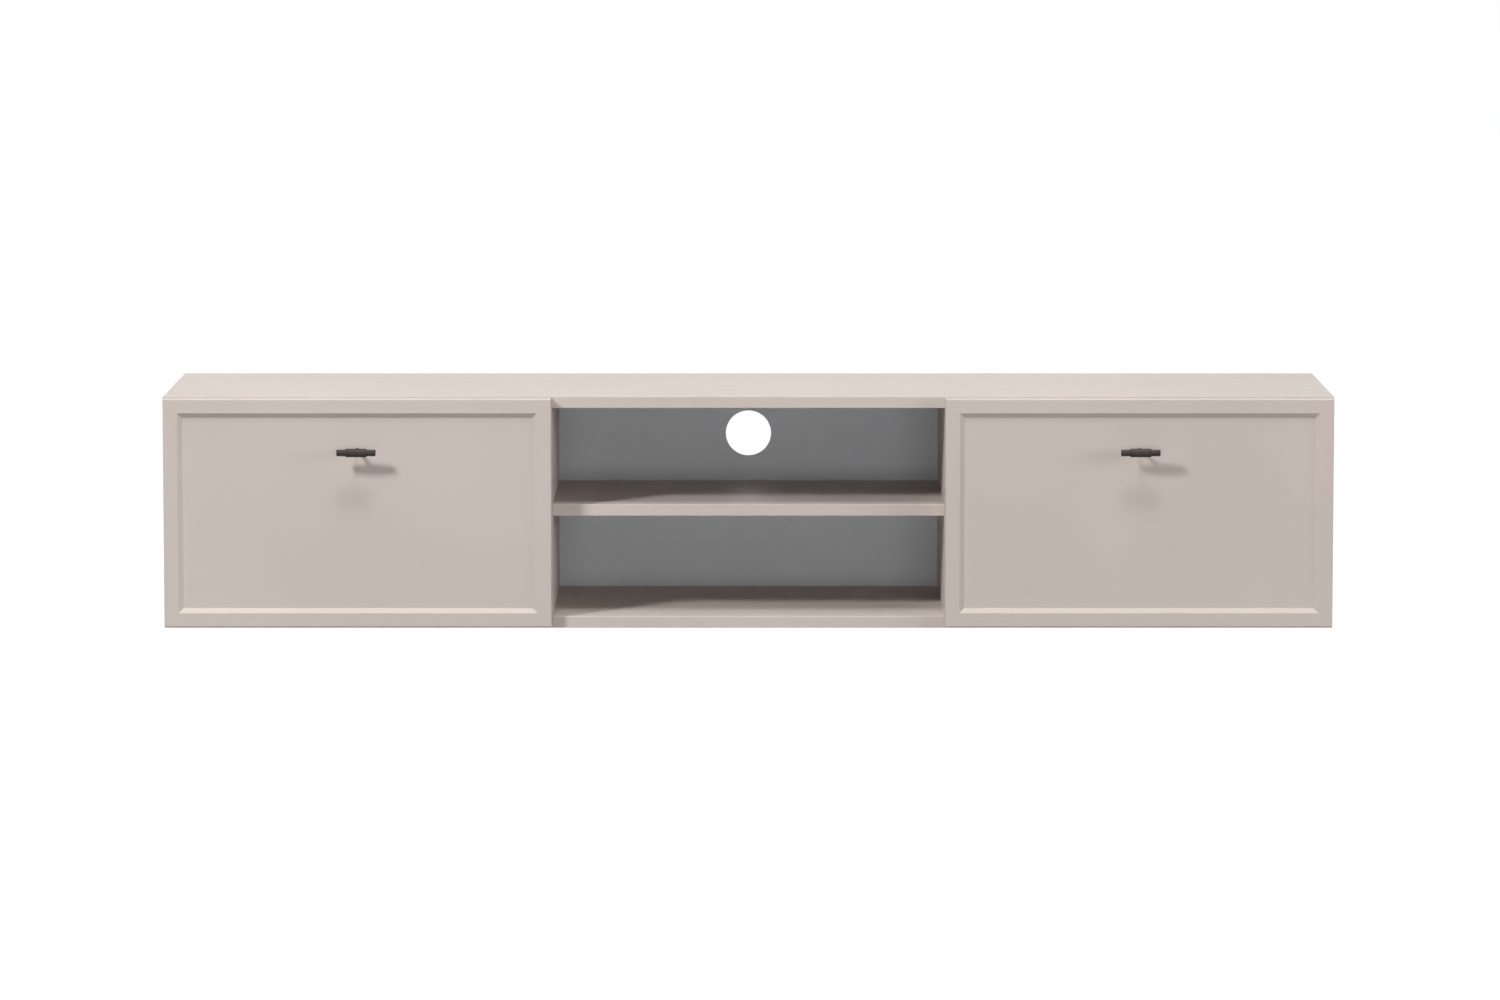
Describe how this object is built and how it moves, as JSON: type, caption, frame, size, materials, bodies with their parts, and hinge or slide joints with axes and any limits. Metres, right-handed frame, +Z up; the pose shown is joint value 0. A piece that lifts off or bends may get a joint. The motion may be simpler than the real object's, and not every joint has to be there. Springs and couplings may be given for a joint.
{
  "type": "floating media console",
  "caption": "Wall-hung media console with an open niche and shelf between two closed compartments, each with a drop-down flap on sliding-rod stays.",
  "frame": {"origin": "on the wall, in the middle of the hanging rail's row of screw holes", "axes": "+X to the right seen from the front, +Y into the wall, +Z up"},
  "size_m": [1.8, 0.4575, 0.358],
  "materials": {
    "lacquered_board": "satin greige lacquer on medium-density fibreboard",
    "grey_back": "matt neutral grey thin board",
    "birch_ply": "plain birch plywood",
    "zinc_plated_steel": "bright zinc plating",
    "polished_steel": "ground and polished round rod",
    "brake_zinc": "grey painted zinc casting",
    "dark_handle": "satin black-brown powder coat",
    "hanger_plastic": "matt light grey moulding",
    "catch_plastic": "matt black moulding",
    "clear_rubber": "soft translucent buttons"
  },
  "bodies": {
    "carcass": {"top_panel": "lacquered_board", "bottom_panel": "lacquered_board", "left_side_panel": "lacquered_board", "right_side_panel": "lacquered_board", "left_partition": "lacquered_board", "right_partition": "lacquered_board", "back_panel": "grey_back", "middle_shelf": "lacquered_board", "joint_tongues": "birch_ply", "wall_rail": "zinc_plated_steel", "left_outer_hanger": "hanger_plastic", "left_inner_hanger": "hanger_plastic", "right_inner_hanger": "hanger_plastic", "right_outer_hanger": "hanger_plastic", "hanger_hooks": "zinc_plated_steel", "carcass_hinge_leaves": "zinc_plated_steel", "hinge_pins": "zinc_plated_steel", "left_magnet_catch": "catch_plastic", "right_magnet_catch": "catch_plastic", "left_outer_stay_base": "zinc_plated_steel", "left_inner_stay_base": "zinc_plated_steel", "right_inner_stay_base": "zinc_plated_steel", "right_outer_stay_base": "zinc_plated_steel"},
    "left_flap": {"left_flap_panel": "lacquered_board", "left_handle_bar": "dark_handle", "left_handle_sleeve": "dark_handle", "left_handle_stem": "dark_handle", "left_handle_bolt": "zinc_plated_steel", "left_flap_hinge_leaves": "zinc_plated_steel", "left_strike_plate": "zinc_plated_steel", "left_bumpers": "clear_rubber", "left_stay_brackets": "zinc_plated_steel"},
    "right_flap": {"right_flap_panel": "lacquered_board", "right_handle_bar": "dark_handle", "right_handle_sleeve": "dark_handle", "right_handle_stem": "dark_handle", "right_handle_bolt": "zinc_plated_steel", "right_flap_hinge_leaves": "zinc_plated_steel", "right_strike_plate": "zinc_plated_steel", "right_bumpers": "clear_rubber", "right_stay_brackets": "zinc_plated_steel"},
    "left_outer_brake": {"left_outer_brake_housing": "brake_zinc"},
    "left_outer_rod": {"left_outer_stay_rod": "polished_steel"},
    "left_inner_brake": {"left_inner_brake_housing": "brake_zinc"},
    "left_inner_rod": {"left_inner_stay_rod": "polished_steel"},
    "right_inner_brake": {"right_inner_brake_housing": "brake_zinc"},
    "right_inner_rod": {"right_inner_stay_rod": "polished_steel"},
    "right_outer_brake": {"right_outer_brake_housing": "brake_zinc"},
    "right_outer_rod": {"right_outer_stay_rod": "polished_steel"}
  },
  "joints": [
    {"name": "left_flap_hinge", "type": "hinge", "parent": "carcass", "child": "left_flap", "pos_m": [-0.6005, -0.4018, -0.30925], "axis": [1, 0, 0], "range_deg": [0, 90]},
    {"name": "right_flap_hinge", "type": "hinge", "parent": "carcass", "child": "right_flap", "pos_m": [0.6005, -0.4018, -0.30925], "axis": [1, 0, 0], "range_deg": [0, 90]},
    {"name": "left_outer_brake_pivot", "type": "hinge", "parent": "carcass", "child": "left_outer_brake", "pos_m": [-0.8662, -0.30945, -0.19105], "axis": [1, 0, 0], "range_deg": [0, 45]},
    {"name": "left_outer_rod_pivot", "type": "hinge", "parent": "left_flap", "child": "left_outer_rod", "pos_m": [-0.8662, -0.388, -0.15989], "axis": [1, 0, 0], "range_deg": [-45, 0]},
    {"name": "left_inner_brake_pivot", "type": "hinge", "parent": "carcass", "child": "left_inner_brake", "pos_m": [-0.3358, -0.30945, -0.19105], "axis": [1, 0, 0], "range_deg": [0, 45]},
    {"name": "left_inner_rod_pivot", "type": "hinge", "parent": "left_flap", "child": "left_inner_rod", "pos_m": [-0.3358, -0.388, -0.15989], "axis": [1, 0, 0], "range_deg": [-45, 0]},
    {"name": "right_inner_brake_pivot", "type": "hinge", "parent": "carcass", "child": "right_inner_brake", "pos_m": [0.3358, -0.30945, -0.19105], "axis": [1, 0, 0], "range_deg": [0, 45]},
    {"name": "right_inner_rod_pivot", "type": "hinge", "parent": "right_flap", "child": "right_inner_rod", "pos_m": [0.3358, -0.388, -0.15989], "axis": [1, 0, 0], "range_deg": [-45, 0]},
    {"name": "right_outer_brake_pivot", "type": "hinge", "parent": "carcass", "child": "right_outer_brake", "pos_m": [0.8662, -0.30945, -0.19105], "axis": [1, 0, 0], "range_deg": [0, 45]},
    {"name": "right_outer_rod_pivot", "type": "hinge", "parent": "right_flap", "child": "right_outer_rod", "pos_m": [0.8662, -0.388, -0.15989], "axis": [1, 0, 0], "range_deg": [-45, 0]}
  ],
  "couplings": [
    {"joint": "left_outer_brake_pivot", "follows": "left_flap_hinge", "ratio": 0.5},
    {"joint": "left_outer_rod_pivot", "follows": "left_flap_hinge", "ratio": -0.5},
    {"joint": "left_inner_brake_pivot", "follows": "left_flap_hinge", "ratio": 0.5},
    {"joint": "left_inner_rod_pivot", "follows": "left_flap_hinge", "ratio": -0.5},
    {"joint": "right_inner_brake_pivot", "follows": "right_flap_hinge", "ratio": 0.5},
    {"joint": "right_inner_rod_pivot", "follows": "right_flap_hinge", "ratio": -0.5},
    {"joint": "right_outer_brake_pivot", "follows": "right_flap_hinge", "ratio": 0.5},
    {"joint": "right_outer_rod_pivot", "follows": "right_flap_hinge", "ratio": -0.5}
  ]
}
